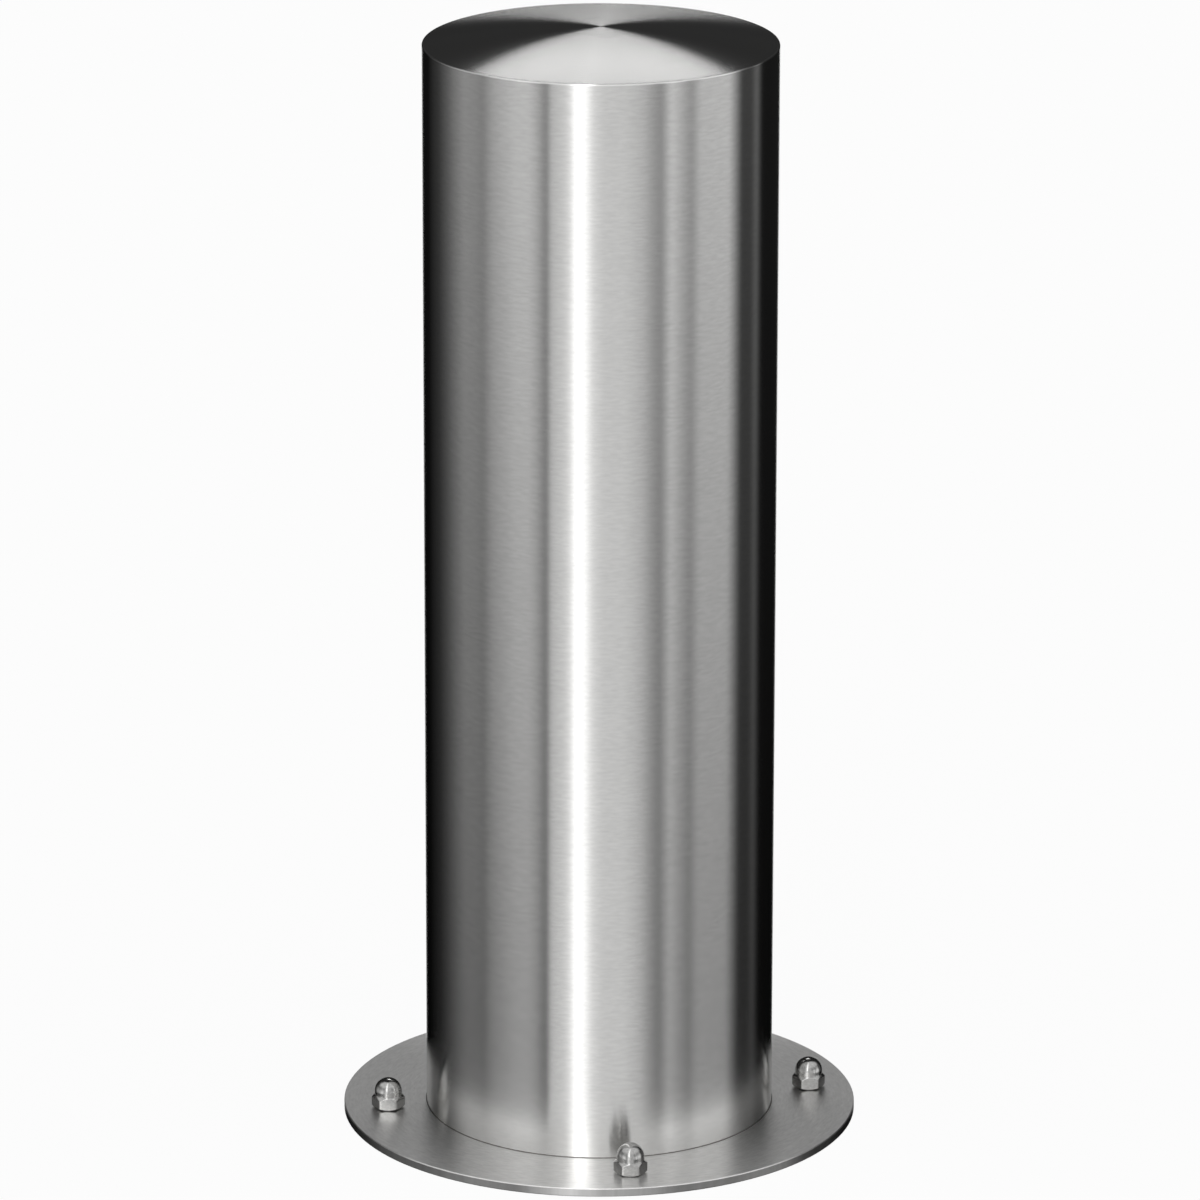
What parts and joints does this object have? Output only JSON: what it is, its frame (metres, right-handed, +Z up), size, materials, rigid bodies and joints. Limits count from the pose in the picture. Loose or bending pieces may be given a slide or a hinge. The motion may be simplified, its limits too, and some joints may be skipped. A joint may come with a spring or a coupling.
{
  "type": "round stainless steel bollard",
  "caption": "Round steel bollard: a brushed column tube with a crowned turned cap, on a round base flange held down by domed cap nuts.",
  "frame": {"origin": "middle of the flange's underside, on the column's axis, at ground level", "axes": "+Z up along the column's axis; the anchor holes and nuts lie on -Y (front), +X (right), +Y (back) and -X (left)"},
  "size_m": [0.3, 0.3, 0.65],
  "materials": {
    "column_steel": "ground round the tube, satin",
    "cap_steel": "turned, fine rings round the middle",
    "flange_steel": "straight brushed, satin",
    "nut_steel": "cold formed, half bright"
  },
  "bodies": {
    "root": {"column_tube": "column_steel", "top_cap": "cap_steel", "base_flange": "flange_steel", "cap_nut_front": "nut_steel", "cap_nut_right": "nut_steel", "cap_nut_back": "nut_steel", "cap_nut_left": "nut_steel"}
  },
  "joints": []
}
